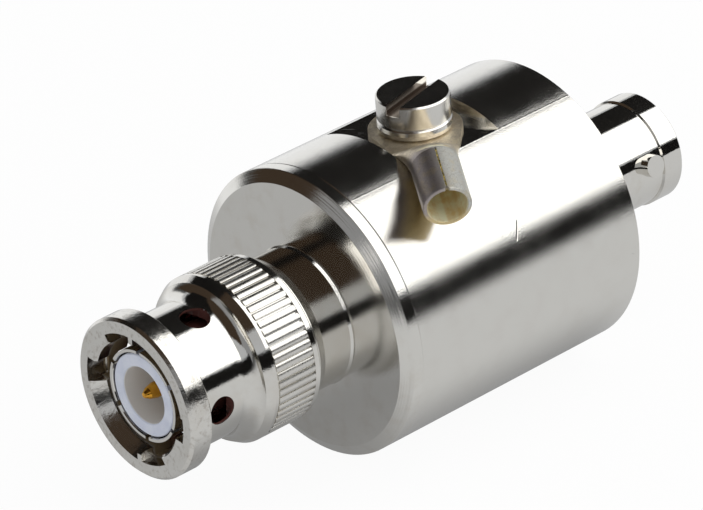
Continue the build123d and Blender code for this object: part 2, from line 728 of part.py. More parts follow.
save(jack_contact.part, "jack_contact")

# circuit
GAS_SET = 3.85
GAS_X = SCREW_X - GAS_SET
GAS_R = 2.7
GAS_Z = BOARD_TOP + GAS_R
LEAD_Y = 4.3
RES_EDGE = 3.02
RES_Y = BOARD_HALF - RES_EDGE
RES_SET = 1.6
RES_X = (BOARD_FRONT + BOARD_BACK) / 2 + RES_SET
RES_R = 1.15
DIO_EDGE = 3.22
DIO_Y = DIO_EDGE - BOARD_HALF
DIO_R = 1.3
HALF_BODY = 3.1
LEAD_OUT = 1.2
PLUG_LEAD_SET = 1.0
PLUG_LEAD_X = BOARD_FRONT + PLUG_LEAD_SET
JACK_LEAD_SET = 3.2
JACK_LEAD_X = BOARD_BACK - JACK_LEAD_SET
EARTH_LEAD_SET = 1.55
EARTH_LEAD_X = SCREW_X + EARTH_LEAD_SET
TUBE_HALF = 1.9
TUBE_CAP = 0.9
BOARD_HOLES = [
    (PLUG_LEAD_X, 0), (JACK_LEAD_X, 0), (EARTH_LEAD_X, 0),
    (GAS_X, LEAD_Y), (GAS_X, -LEAD_Y),
    (RES_X - HALF_BODY - LEAD_OUT, RES_Y), (RES_X + HALF_BODY + LEAD_OUT, RES_Y),
    (RES_X - HALF_BODY - LEAD_OUT, DIO_Y), (RES_X + HALF_BODY + LEAD_OUT, DIO_Y),
]

with BuildPart() as board:
    with BuildSketch(Plane.XY.offset(BOARD_UNDER)):
        with Locations(((BOARD_FRONT + BOARD_BACK) / 2, 0)):
            Rectangle(BOARD_BACK - BOARD_FRONT, 2 * BOARD_HALF)
        with Locations(*BOARD_HOLES):
            Circle(WIRE_R, mode=Mode.SUBTRACT)
    extrude(amount=BOARD_THICK)
save(board.part, "circuit_board")


def wire(points, bend=0.6):
    """A round wire along straight runs with rounded bends."""
    with BuildPart() as piece:
        with BuildLine() as path:
            FilletPolyline(*points, radius=bend)
        with BuildSketch(Plane(origin=path.wire() @ 0, z_dir=path.wire() % 0)):
            Circle(WIRE_R)
        sweep()
    return piece.part


TAIL_LONG = 0.7
TAIL = BOARD_UNDER - TAIL_LONG
save(wire([(SPIGOT_BACK - 0.2, 0, 0), (PLUG_LEAD_X, 0, 0), (PLUG_LEAD_X, 0, TAIL)]), "plug_lead")
save(wire([(JACK_END - SOCKET_TAIL + CUP_DEEP - 0.1, 0, 0), (JACK_LEAD_X, 0, 0), (JACK_LEAD_X, 0, TAIL)]), "jack_lead")
save(wire([(EARTH_LEAD_X, 0, BUSH_FOOT), (EARTH_LEAD_X, 0, (BUSH_FOOT + BOARD_TOP) / 2),
           (EARTH_LEAD_X + 0.01, 0, TAIL)], 0.45), "earth_lead")

with BuildPart() as ceramic:
    with BuildSketch(Plane.XZ.offset(-TUBE_HALF)):
        with Locations((GAS_X, GAS_Z)):
            Circle(GAS_R - 0.12)
    extrude(amount=2 * TUBE_HALF)
save(ceramic.part, "gas_tube_ceramic")


def gas_end(side):
    """One metal end of the gas tube, with its wire down through the board."""
    with BuildPart() as piece:
        with BuildSketch(Plane.XZ.offset(-side * TUBE_HALF)):
            with Locations((GAS_X, GAS_Z)):
                Circle(GAS_R)
        extrude(amount=-side * TUBE_CAP)
        add(wire([(GAS_X, side * (TUBE_HALF + TUBE_CAP / 2), GAS_Z), (GAS_X, side * LEAD_Y, GAS_Z),
                  (GAS_X, side * LEAD_Y, TAIL)]))
    return piece.part


save(gas_end(1), "gas_tube_line_end")
save(gas_end(-1), "gas_tube_earth_end")


def axial(y, r, name, shade):
    """A round component lying on the board with a bent wire at each end."""
    z = BOARD_TOP + r
    with BuildPart() as body:
        with BuildSketch(Plane.YZ.offset(RES_X - HALF_BODY)):
            with Locations((y, z)):
                Circle(r)
        extrude(amount=2 * HALF_BODY)
        fillet(body.edges().filter_by(GeomType.CIRCLE), 0.3 if shade else 0.12)
    save(body.part, name + "_body")
    with BuildPart() as leads:
        for side in (-1, 1):
            end = RES_X + side * (HALF_BODY + LEAD_OUT)
            add(wire([(RES_X + side * HALF_BODY, y, z), (end, y, z), (end, y, TAIL)]))
    save(leads.part, name + "_leads")


axial(RES_Y, RES_R, "resistor", True)
axial(DIO_Y, DIO_R, "diode", False)
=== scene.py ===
# %% [markdown]
# # Coaxial video surge protector
# A round metal unit about 58 mm long: a bayonet plug on the left, a bayonet jack behind on
# the right, and an earth lug under a slotted screw on a flat milled into the housing.
# The solids come from a packed engineering model, which is loaded first and never moved.
# This notebook gives them their finishes, adds what a machinist's hand and the plating tank
# leave on them, and sets up a small studio, because plated metal shows mostly its room.

# %% Load the frame
import json
import math
import random

import bpy
from mathutils import Matrix, Vector

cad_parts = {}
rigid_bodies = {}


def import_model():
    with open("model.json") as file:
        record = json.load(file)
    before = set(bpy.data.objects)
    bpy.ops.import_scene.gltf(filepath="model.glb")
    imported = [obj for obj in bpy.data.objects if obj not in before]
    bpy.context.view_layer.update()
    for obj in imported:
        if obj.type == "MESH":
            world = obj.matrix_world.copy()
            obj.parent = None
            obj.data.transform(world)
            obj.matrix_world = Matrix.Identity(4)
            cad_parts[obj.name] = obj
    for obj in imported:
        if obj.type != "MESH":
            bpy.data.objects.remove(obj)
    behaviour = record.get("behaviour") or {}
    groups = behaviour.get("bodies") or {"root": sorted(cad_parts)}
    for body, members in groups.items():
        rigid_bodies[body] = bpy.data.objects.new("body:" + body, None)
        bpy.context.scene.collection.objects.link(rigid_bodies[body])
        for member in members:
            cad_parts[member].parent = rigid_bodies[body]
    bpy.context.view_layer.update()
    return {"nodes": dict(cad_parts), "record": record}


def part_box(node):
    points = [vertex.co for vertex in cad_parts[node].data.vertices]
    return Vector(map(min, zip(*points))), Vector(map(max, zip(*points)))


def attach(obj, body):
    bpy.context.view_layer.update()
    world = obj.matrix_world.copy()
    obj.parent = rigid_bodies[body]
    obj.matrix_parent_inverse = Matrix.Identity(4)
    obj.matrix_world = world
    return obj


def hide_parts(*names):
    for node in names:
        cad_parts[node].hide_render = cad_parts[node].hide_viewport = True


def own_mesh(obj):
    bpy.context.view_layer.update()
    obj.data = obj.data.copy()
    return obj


bpy.ops.object.select_all(action="SELECT")
bpy.ops.object.delete()
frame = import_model()
nodes = frame["nodes"]
MM = 0.001

# %% [markdown]
# ## Places read from the frame
# Every mark and every new piece sits on a solid, so most places are worked out from the
# boxes of the solids, and the lug's barrel from the mount that a wire goes into. A few
# radii, depths and lengths are typed to suit the part. Places are in metres, as Blender's
# are. Grain sizes and the depths of marks are in millimetres, as a workshop gives them.

# %% Main places
X_AXIS = Vector((1, 0, 0))
Y_AXIS = Vector((0, 1, 0))
Z_AXIS = Vector((0, 0, 1))
tube_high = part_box("housing_tube")[1]
screw_low, screw_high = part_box("earth_screw")
BODY_R = tube_high.y
BODY_BACK = tube_high.x
SCREW_X = (screw_low.x + screw_high.x) / 2
HEAD_R = (screw_high.x - screw_low.x) / 2
HEAD_TOP = screw_high.z
CONTACT_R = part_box("outer_contact")[1].y
NUT_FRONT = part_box("coupling_nut")[0].x
print("housing radius", BODY_R, "screw at", SCREW_X, "head top", HEAD_TOP)

# %% The lug's barrel
barrel = next(m for m in frame["record"]["mounts"] if m["name"] == "lug_barrel")
BARREL_DIR = Vector(barrel["axis"]).normalized()
BARREL_BORE_R = barrel["dims"]["r_mm"] * MM
BARREL_MOUTH = Vector(barrel["pos_m"]) + BARREL_DIR * barrel["dims"]["length_mm"] * MM / 2
BARREL_WALL = 0.37 * MM
BARREL_UP = (Z_AXIS - BARREL_DIR * BARREL_DIR.z).normalized()
BARREL_SIDE = BARREL_UP.cross(BARREL_DIR)
print("barrel mouth", tuple(round(v / MM, 2) for v in BARREL_MOUTH))

# %% [markdown]
# ## Colours and nodes
# Colours are written as web hex codes, the way a paint chart gives them. Blender's shaders
# work in linear light, so one function converts them. Another adds a shader node with its
# settings and links in one line, which keeps each material readable, and a third starts a
# material.

# %% Colour, node and material
def linear(code):
    """A web hex colour as linear RGBA."""
    parts = [int(code[i:i + 2], 16) / 255 for i in (1, 3, 5)]
    return [p / 12.92 if p <= 0.04045 else ((p + 0.055) / 1.055) ** 2.4 for p in parts] + [1.0]


def add(tree, kind, inputs=None, **settings):
    """A shader node: settings are its own properties, inputs are values or sockets to link."""
    node = tree.nodes.new(kind)
    for name, value in settings.items():
        setattr(node, name, value)
    for name, value in (inputs or {}).items():
        socket = node.inputs[name]
        if isinstance(value, bpy.types.NodeSocket):
            tree.links.new(value, socket)
        else:
            socket.default_value = value
    return node


def material(name, color, roughness, metallic=0.0):
    """A new material with its shader, and the Object coordinates that its patterns read."""
    made = bpy.data.materials.new(name)
    made.use_nodes = True
    tree = made.node_tree
    shader = tree.nodes["Principled BSDF"]
    shader.inputs["Base Color"].default_value = linear(color)
    shader.inputs["Roughness"].default_value = roughness
    shader.inputs["Metallic"].default_value = metallic
    place = add(tree, "ShaderNodeTexCoord").outputs["Object"]
    return made, tree, shader, place


def per_mm(size):
    """The scale of a noise whose grains measure this many millimetres."""
    return 1 / (size * MM)


print("mid grey #808080 is", round(linear("#808080")[0], 3), "in linear light")

# %% [markdown]
# ## Where on a piece
# A mark such as a nick or a stained bore lies at a real place. Small functions turn Object
# coordinates into a distance along a direction or from an axis, and that distance into a
# soft step or a soft window. Others mix colours by it, raise a bump of a stated height, or
# draw grain and turning lines of a stated size.

# %% Place helpers
def along(tree, place, origin, direction):
    """How far a point lies from origin in one direction."""
    offset = add(tree, "ShaderNodeVectorMath", {0: place, 1: origin}, operation="SUBTRACT")
    return add(tree, "ShaderNodeVectorMath", {0: offset.outputs[0], 1: direction},
               operation="DOT_PRODUCT").outputs["Value"]


def from_axis(tree, place, origin, direction):
    """How far a point lies from a line through origin."""
    offset = add(tree, "ShaderNodeVectorMath", {0: place, 1: origin}, operation="SUBTRACT")
    turned = add(tree, "ShaderNodeVectorMath", {0: offset.outputs[0], 1: direction},
                 operation="CROSS_PRODUCT")
    return add(tree, "ShaderNodeVectorMath", {0: turned.outputs[0]}, operation="LENGTH").outputs["Value"]


def ramp(tree, value, start, end, low=0.0, high=1.0):
    """A smooth step from low at start to high at end."""
    limits = {"Value": value, "From Min": start, "From Max": end, "To Min": low, "To Max": high}
    return add(tree, "ShaderNodeMapRange", limits, interpolation_type="SMOOTHSTEP").outputs["Result"]


def times(tree, first, second):
    """The product of two numbers."""
    return add(tree, "ShaderNodeMath", {0: first, 1: second}, operation="MULTIPLY").outputs[0]


def plus(tree, first, second):
    """The sum of two numbers."""
    return add(tree, "ShaderNodeMath", {0: first, 1: second}, operation="ADD").outputs[0]


def window(tree, value, low, high, soft):
    """1 between two limits, fading out over a soft edge at each."""
    rise = ramp(tree, value, low - soft, low + soft)
    return times(tree, rise, ramp(tree, value, high - soft, high + soft, 1, 0))


def mixed(tree, share, first, second):
    """Two colours mixed by a share that changes over the surface."""
    return add(tree, "ShaderNodeMix", {0: share, 6: first, 7: second}, data_type="RGBA").outputs[2]


def relief(tree, height, deep, under=None):
    """A bump whose heights from 0 to 1 stand for this many millimetres."""
    inputs = {"Height": height, "Strength": 1.0, "Distance": deep * MM}
    if under is not None:
        inputs["Normal"] = under
    return add(tree, "ShaderNodeBump", inputs).outputs["Normal"]


def grain(tree, place, size, detail=3.0):
    """Noise whose grains measure this many millimetres."""
    return add(tree, "ShaderNodeTexNoise", {"Vector": place, "Scale": per_mm(size), "Detail": detail,
                                            "Roughness": 0.6}).outputs["Fac"]


# an end face has no length along the axis, so its rings come from this share of its radius
FACING_SHARE = 0.6


def turning_lines(tree, place, pitch):
    """Uneven rings round the X axis, on round walls and on end faces, as a lathe leaves them."""
    x = along(tree, place, (0, 0, 0), X_AXIS)
    r = from_axis(tree, place, (0, 0, 0), X_AXIS)
    travel = plus(tree, x, times(tree, r, FACING_SHARE))
    return add(tree, "ShaderNodeTexNoise", {"W": travel, "Scale": per_mm(pitch), "Detail": 2.0},
               noise_dimensions="1D").outputs["Fac"]


print("rings on end faces come from", FACING_SHARE, "of the radius")

# %% [markdown]
# ## Bright nickel
# The housing is turned brass under bright nickel. A plating tank copies the tool's finish:
# the long housing keeps a very fine grain that frays the edge of each reflection, while
# the connectors were burnished and mirror the room sharply. So both finishes are one
# metal with a different grain. Fine turning lines and a thin warm film, thicker in
# patches, keep it from looking like a computer's chrome.

# %% Nickel
NICKEL = "#dddbd6"
FILM = "#c2b6a6"
TURNING_APART = 0.12
CLOUD = 2.2


def nickel(name, roughness, size, deep, turning=0.0006, film=0.2):
    """Nickel plate: size of its grain and its depth in mm, depth of turning, most film."""
    made, tree, shader, place = material(name, NICKEL, roughness, 1.0)
    normal = relief(tree, grain(tree, place, size), deep)
    if turning:
        normal = relief(tree, turning_lines(tree, place, TURNING_APART), turning, normal)
    cloud = grain(tree, place, CLOUD, 4.0)
    rough = ramp(tree, cloud, 0.3, 0.7, roughness * 0.8, roughness * 1.25)
    color = mixed(tree, ramp(tree, cloud, 0.45, 0.75, 0.0, film), linear(NICKEL), linear(FILM))
    tree.links.new(rough, shader.inputs["Roughness"])
    tree.links.new(color, shader.inputs["Base Color"])
    tree.links.new(normal, shader.inputs["Normal"])
    return made, tree, shader, place, rough, color, normal


mirror_nickel = nickel("burnished_nickel", 0.05, 0.2, 0.002)[0]
sleeve_nickel = nickel("nickel_on_plain_sleeve", 0.09, 0.12, 0.005, 0.0015)[0]
washer_nickel = nickel("nickel_on_spring_wire", 0.16, 0.2, 0.008, 0)[0]

# %% Front cap, whose chamfer was cut with a coarser tool
CHAMFER_WIDE = 1.04 * MM
TOOL_LINES_APART = 0.3
TOOL_LINES_DEEP = 0.02
cap_nickel, tree, shader, place, _, _, normal = nickel("nickel_on_faced_brass", 0.1, 0.12, 0.006, 0.003)
r = from_axis(tree, place, (0, 0, 0), X_AXIS)
chamfer = window(tree, r, BODY_R - CHAMFER_WIDE, BODY_R - 0.03 * MM, 0.02 * MM)
tool_lines = turning_lines(tree, place, TOOL_LINES_APART)
normal = relief(tree, times(tree, chamfer, tool_lines), TOOL_LINES_DEEP, normal)
tree.links.new(normal, shader.inputs["Normal"])
print("nickel finishes", mirror_nickel.name, cap_nickel.name, washer_nickel.name)

# %% [markdown]
# ## The housing's own marks
# The photograph shows one nick across the lower edge of the light band, a few pits in the
# dark bands, and mill lines on the flat. Each could be cut into a mesh, but they are only
# hundredths of a millimetre deep, so they are bumps. The nick and the mill lines are at
# their real places, and the pits are scattered.

# %% Housing finish
satin_nickel, tree, shader, place, rough, color, normal = nickel(
    "satin_nickel_on_turned_brass", 0.125, 0.12, 0.0095, film=0.06)


def on_housing(x, angle):
    """A point on the housing at a length in mm and an angle round its axis."""
    a = math.radians(angle)
    return Vector((x * MM, BODY_R * math.cos(a), BODY_R * math.sin(a)))


NICK_TOP, NICK_END = on_housing(31.76, 149.1), on_housing(31.03, 155.4)
NICK_HALF_WIDE = 0.07 * MM
NICK_DEEP = 0.05
nick_mid = (NICK_TOP + NICK_END) / 2
nick_dir = (NICK_END - NICK_TOP).normalized()
nick_out = Vector((0, nick_mid.y, nick_mid.z)).normalized()
nick_half = (NICK_END - NICK_TOP).length / 2
nick_long = along(tree, place, nick_mid, nick_dir)
nick_wide = along(tree, place, nick_mid, nick_dir.cross(nick_out))
nick_run = times(tree, window(tree, nick_long, -nick_half, nick_half, 0.15 * MM),
                 ramp(tree, along(tree, place, nick_mid, nick_out), -1 * MM, -0.9 * MM))
nick_cut = window(tree, nick_wide, -0.5 * NICK_HALF_WIDE, 0.5 * NICK_HALF_WIDE, NICK_HALF_WIDE)
normal = relief(tree, times(tree, nick_run, nick_cut), -NICK_DEEP, normal)
# painted shade: a dark line along one wall of the nick, beside its cut
nick_wall_painted_shade = window(tree, nick_wide, 0.4 * NICK_HALF_WIDE, 1.6 * NICK_HALF_WIDE, 0.4 * NICK_HALF_WIDE)
color = mixed(tree, times(tree, nick_run, nick_wall_painted_shade), color, linear("#1c1814"))
tree.links.new(color, shader.inputs["Base Color"])

# %% Pits
PIT_APART = 3.1
PIT_R = 0.09
PIT_DEEP = 0.03
cells = add(tree, "ShaderNodeTexVoronoi", {"Vector": place, "Scale": per_mm(PIT_APART), "Randomness": 1.0})
pits = ramp(tree, cells.outputs["Distance"], 0.4 * PIT_R / PIT_APART, PIT_R / PIT_APART, 1, 0)
normal = relief(tree, pits, -PIT_DEEP, normal)

# %% Mill lines on the flat
FLAT_Z = BODY_R - 1.11 * MM
MILL_TURN = 40
MILL_APART = 0.2
MILL_LONG = 5.0
MILL_DEEP = 0.012
flat = window(tree, along(tree, place, (0, 0, FLAT_Z), Z_AXIS), -0.03 * MM, 0.03 * MM, 0.01 * MM)
turned = add(tree, "ShaderNodeMapping", {"Vector": place, "Rotation": (0, 0, -math.radians(MILL_TURN))})
drawn = add(tree, "ShaderNodeMapping", {"Vector": turned.outputs[0],
                                        "Scale": (per_mm(MILL_APART), per_mm(MILL_LONG), 0)})
lines = add(tree, "ShaderNodeTexNoise", {"Vector": drawn.outputs[0], "Scale": 1.0, "Detail": 2.0})
ungrained = add(tree, "ShaderNodeNewGeometry").outputs["Normal"]
normal = add(tree, "ShaderNodeMix", {0: flat, 4: normal, 5: ungrained}, data_type="VECTOR").outputs[1]
normal = relief(tree, times(tree, flat, lines.outputs["Fac"]), MILL_DEEP, normal)
tree.links.new(times(tree, rough, ramp(tree, flat, 0, 1, 1.0, 0.5)), shader.inputs["Roughness"])
tree.links.new(normal, shader.inputs["Normal"])
print("housing marks: a nick", round(2 * nick_half / MM, 2), "mm long, pits and mill lines")

# %% [markdown]
# ## Coupling nut and outer contact
# Outside, the nut is burnished like the rest, but its flange is handled and knocked, so it
# is duller and grainier than the neck behind it. Inside, the walls and the contact behind
# its rim carry a painted red-brown gloom, seen through the holes and slots: painted shade
# and a painted reflection of the red gasket, golden near the mouth and red-brown deeper.

# %% Nut finish
INSIDE_R = 5.84 * MM
FLANGE_END = NUT_FRONT + 2.2 * MM
GLOOM_FROM = NUT_FRONT + 1.1 * MM
KNURL_FROM, KNURL_TO = NUT_FRONT + 9.05 * MM, NUT_FRONT + 12.9 * MM
KNOCK = 0.45
KNOCK_DEEP = 0.016
KNURL_DULL = 0.2
INSIDE_DULL = 0.3
GLOOM_SHARE = 0.95
GOLDEN_TO, RED_FROM = 1.5 * MM, 3.0 * MM


def painted_gloom(tree, shader, share, x, color):
    """Painted shade and a painted reflection of the red gasket where share is 1, golden near the mouth and
    red-brown deeper, hiding the metal.
    """
    # painted shade deepening into the mouth, with a painted reflection of the red gasket
    gloom_color = mixed(tree, ramp(tree, x, GOLDEN_TO, RED_FROM), linear("#8f7a58"), linear("#5a2015"))
    tree.links.new(mixed(tree, times(tree, share, GLOOM_SHARE), color, gloom_color), shader.inputs["Base Color"])
    tree.links.new(ramp(tree, share, 0, 1, 1.0, 0.2), shader.inputs["Metallic"])


nut_nickel, tree, shader, place, rough, color, normal = nickel(
    "nickel_on_coupling_nut", 0.075, 0.14, 0.004, 0.0012)
x = along(tree, place, (0, 0, 0), X_AXIS)
r = from_axis(tree, place, (0, 0, 0), X_AXIS)
flange = ramp(tree, x, FLANGE_END - 0.1 * MM, FLANGE_END + 0.1 * MM, 1, 0)
inside = times(tree, ramp(tree, r, INSIDE_R - 0.02 * MM, INSIDE_R, 1, 0),
               ramp(tree, x, GLOOM_FROM, GLOOM_FROM + 0.5 * MM))
knocks = grain(tree, place, KNOCK, 4.0)
normal = relief(tree, times(tree, flange, knocks), KNOCK_DEEP, normal)
knurl = window(tree, x, KNURL_FROM, KNURL_TO, 0.1 * MM)
dull = plus(tree, rough, times(tree, flange, ramp(tree, knocks, 0.35, 0.7, 0.05, 0.14)))
dull = plus(tree, dull, times(tree, knurl, KNURL_DULL))
dull = plus(tree, dull, times(tree, inside, INSIDE_DULL))
color = mixed(tree, times(tree, flange, ramp(tree, knocks, 0.5, 0.7, 0.0, 0.4)), color, linear("#a59c92"))
tree.links.new(dull, shader.inputs["Roughness"])
painted_gloom(tree, shader, inside, x, color)
tree.links.new(normal, shader.inputs["Normal"])

# %% Contact finish
BRIGHT_RIM, GLOOM_FULL = 0.5 * MM, 1.4 * MM
contact_nickel, tree, shader, place, _, color, _ = nickel("nickel_on_spring_contact", 0.06, 0.2, 0.003)
r = from_axis(tree, place, (0, 0, 0), X_AXIS)
outside = ramp(tree, r, CONTACT_R - 0.16 * MM, CONTACT_R - 0.12 * MM)
x = along(tree, place, (0, 0, 0), X_AXIS)
# the contact behind its rim gets the same painted shade and painted reflection
painted_gloom(tree, shader, times(tree, outside, ramp(tree, x, BRIGHT_RIM, GLOOM_FULL)), x, color)
print("nut and contact", nut_nickel.name, contact_nickel.name)

# %% [markdown]
# ## Earth screw
# The head is burnished, and the lower part of its saw-cut slot is a darker brown and duller.

# %% Screw finish
SLOT_DEEP = 0.9 * MM
SLOT_BROWN_SHARE = 0.95
SLOT_BOTTOM_DULL = 0.3
SIDE_DULL = 0.12
screw_nickel, tree, shader, place, rough, color, _ = nickel("nickel_on_screw_head", 0.1, 0.2, 0.003, 0)
below_top = along(tree, place, (0, 0, HEAD_TOP), Z_AXIS)
low_in_slot = window(tree, below_top, -SLOT_DEEP - 0.05 * MM, -0.55 * SLOT_DEEP, 0.1 * MM)
from_screw = from_axis(tree, place, (SCREW_X, 0, 0), Z_AXIS)
slot_bottom = times(tree, low_in_slot, ramp(tree, from_screw, HEAD_R - 0.1 * MM, HEAD_R - 0.05 * MM, 1, 0))
# a darker brown on the lower part of the slot
color = mixed(tree, times(tree, slot_bottom, SLOT_BROWN_SHARE), color, linear("#4c3a2b"))
tree.links.new(color, shader.inputs["Base Color"])
turned_side = ramp(tree, from_screw, HEAD_R - 0.15 * MM, HEAD_R - 0.05 * MM, 0.0, SIDE_DULL)
rough = plus(tree, plus(tree, rough, turned_side), times(tree, slot_bottom, SLOT_BOTTOM_DULL))
tree.links.new(rough, shader.inputs["Roughness"])
print("screw slot", round(SLOT_DEEP / MM, 2), "mm deep")

# %% [markdown]
# ## Ring lug
# Crimp lugs are stamped from copper sheet, rolled, brazed along the seam and tinned. Tin
# dulls unevenly: here the palm has gone straw-coloured, and inside the barrel there is a
# golden olive skin. One side of the barrel carries a painted reflection in a faintly purple
# grey and the other a paler one, and the barrel's underside a painted golden reflection.
# The colours follow the lug itself, across it and along it, so they stay put from any side.

# %% Lug finish
MOTTLE, MOTTLE_DEEP = 0.9, 0.02
SPECK, SPECK_DEEP = 0.12, 0.012
STREAK = 0.7
SMOOTH_TIN, ROUGH_TIN = 0.4, 0.55
BORE_DULL = 0.1
BORE_METALLIC = 0.25
PALM_TO, BARREL_FROM = -7.0 * MM, -5.0 * MM
lug_tin, tree, shader, place = material("dull_tin_on_copper_lug", "#b9b2a0", 0.3, 1.0)
across = along(tree, place, BARREL_MOUTH, BARREL_SIDE)
down = along(tree, place, BARREL_MOUTH, BARREL_DIR)
bore = from_axis(tree, place, BARREL_MOUTH, BARREL_DIR)
mottle = grain(tree, place, MOTTLE, 5.0)
fine = grain(tree, place, SPECK, 4.0)
# painted reflection: one side of the barrel a purple grey, the other a paler grey
side = mixed(tree, ramp(tree, across, -0.7 * MM, 0.5 * MM), linear("#b0a7a6"), linear("#d0d0cb"))
palm = mixed(tree, ramp(tree, mottle, 0.35, 0.65), linear("#ece0c6"), linear("#cdc1b0"))
color = mixed(tree, ramp(tree, down, PALM_TO, BARREL_FROM), palm, side)
color = mixed(tree, ramp(tree, mottle, 0.45, 0.7, 0.0, 0.3), color, linear("#d6c496"))
on_barrel = ramp(tree, down, -6.5 * MM, -5.5 * MM)
# painted reflection: the underside of the barrel a lighter gold
underside_painted_reflection = ramp(tree, along(tree, place, BARREL_MOUTH, BARREL_UP), -0.2 * MM, -1.4 * MM)
color = mixed(tree, times(tree, underside_painted_reflection, on_barrel), color, linear("#dfcb9c"))
color = mixed(tree, ramp(tree, fine, 0.5, 0.68, 0.0, 0.45), color, linear("#8f877c"))
in_bore = times(tree, ramp(tree, bore, BARREL_BORE_R, BARREL_BORE_R + 0.06 * MM, 1, 0), on_barrel)
streaks = add(tree, "ShaderNodeTexNoise", {"W": across, "Scale": per_mm(STREAK), "Detail": 3.0},
              noise_dimensions="1D").outputs["Fac"]
patchy = plus(tree, times(tree, streaks, 0.5), times(tree, mottle, 0.5))
olive = mixed(tree, ramp(tree, patchy, 0.35, 0.65), linear("#eeeed2"), linear("#d8c08a"))
color = mixed(tree, in_bore, color, olive)
rough = plus(tree, ramp(tree, fine, 0.3, 0.7, SMOOTH_TIN, ROUGH_TIN), times(tree, in_bore, BORE_DULL))
normal = relief(tree, fine, SPECK_DEEP)
normal = relief(tree, mottle, MOTTLE_DEEP, normal)
tree.links.new(ramp(tree, in_bore, 0, 1, 1.0, BORE_METALLIC), shader.inputs["Metallic"])
tree.links.new(color, shader.inputs["Base Color"])
tree.links.new(rough, shader.inputs["Roughness"])
tree.links.new(normal, shader.inputs["Normal"])
print("lug finish", lug_tin.name)

# %% [markdown]
# ## The other finishes
# Each starts from what it is. PTFE is turned and stays waxy white with fine rings. Gold
# flash is soft and scuffs. Silicone is moulded and holds dust. Solder mask shows the weave
# of the glass under it. One function gives a finish its base, its uneven roughness, a
# second shade in patches and a relief, all at stated sizes in millimetres.

# %% Textured finishes
RINGS_APART = 0.15


def textured(name, color, shade, roughness, metallic, size, deep, rings=0.0):
    """A finish with a second shade in patches, a grain of this size and depth, and rings."""
    made, tree, shader, place = material(name, color, roughness, metallic)
    speck = grain(tree, place, size)
    normal = relief(tree, speck, deep)
    if rings:
        normal = relief(tree, turning_lines(tree, place, RINGS_APART), rings, normal)
    patches = ramp(tree, grain(tree, place, size * 6, 4.0), 0.35, 0.65)
    tree.links.new(mixed(tree, patches, linear(color), linear(shade)), shader.inputs["Base Color"])
    tree.links.new(ramp(tree, speck, 0.3, 0.7, roughness * 0.75, roughness * 1.3), shader.inputs["Roughness"])
    tree.links.new(normal, shader.inputs["Normal"])
    return made


PTFE_LOOK = ("#e4e8f4", "#d9deee", 0.4, 0.0, 0.25, 0.004, 0.004)
ptfe = textured("turned_ptfe", *PTFE_LOOK)
gold = textured("gold_flash_on_brass", "#f0b545", "#d89a34", 0.2, 1.0, 0.12, 0.003, 0.003)
silicone = textured("moulded_silicone_rubber", "#7a160e", "#5c0f0a", 0.45, 0.0, 0.1, 0.01)
tin = textured("tin_plated_wire", "#b9b2a0", "#a69f90", 0.34, 1.0, 0.15, 0.006)
spring_steel = textured("rolled_spring_steel", "#a8a49c", "#948f86", 0.28, 1.0, 0.1, 0.004)
brass = textured("turned_brass", "#cda95c", "#b8934a", 0.24, 1.0, 0.2, 0.004, 0.004)
ceramic = textured("fired_alumina", "#e9e4da", "#ddd6c8", 0.5, 0.0, 0.08, 0.006)
lacquer = textured("lacquered_resistor_body", "#8fb0c4", "#7fa2b8", 0.2, 0.0, 0.4, 0.01)
epoxy = textured("moulded_epoxy", "#202022", "#2a2a2c", 0.5, 0.0, 0.06, 0.008)

# %% Bored PTFE, less blue on the wall of the bore than on its face, a painted tint of its shade
PTFE_BORE_R = 2.48 * MM
bored_ptfe = textured("turned_and_bored_ptfe", *PTFE_LOOK)
tree = bored_ptfe.node_tree
shader = tree.nodes["Principled BSDF"]
color = shader.inputs["Base Color"].links[0].from_socket
r = from_axis(tree, tree.nodes["Texture Coordinate"].outputs["Object"], (0, 0, 0), X_AXIS)
# painted shade tint: the bore's wall warmer and less blue than the face
in_bore = ramp(tree, r, PTFE_BORE_R + 0.01 * MM, PTFE_BORE_R + 0.04 * MM, 1, 0)
tree.links.new(mixed(tree, in_bore, color, linear("#e4e2de")), shader.inputs["Base Color"])
print("bore of the plug's insulator", round(PTFE_BORE_R / MM, 2), "mm in radius")

# %% Board
# real threads lie about 0.5 mm apart, and these bands are drawn coarser, 3.14 mm apart
BANDS_APART = 3.14159
# at a scale of 1, wave bands repeat every 2 pi / 20
WAVE_REPEAT = 2 * math.pi / 20
board, tree, shader, place = material("solder_mask_on_glass_fibre", "#1f5a35", 0.32)
threads = []
band_scale = per_mm(BANDS_APART) * WAVE_REPEAT
for direction in ("X", "Y"):
    wave = add(tree, "ShaderNodeTexWave", {"Vector": place, "Scale": band_scale, "Distortion": 0.6},
               wave_type="BANDS", bands_direction=direction)
    threads.append(wave.outputs["Fac"])
weave = times(tree, threads[0], threads[1])
tree.links.new(mixed(tree, weave, linear("#1a4f2e"), linear("#2c6b42")), shader.inputs["Base Color"])
tree.links.new(relief(tree, weave, 0.01), shader.inputs["Normal"])
print("board bands at scale", round(band_scale, 2))

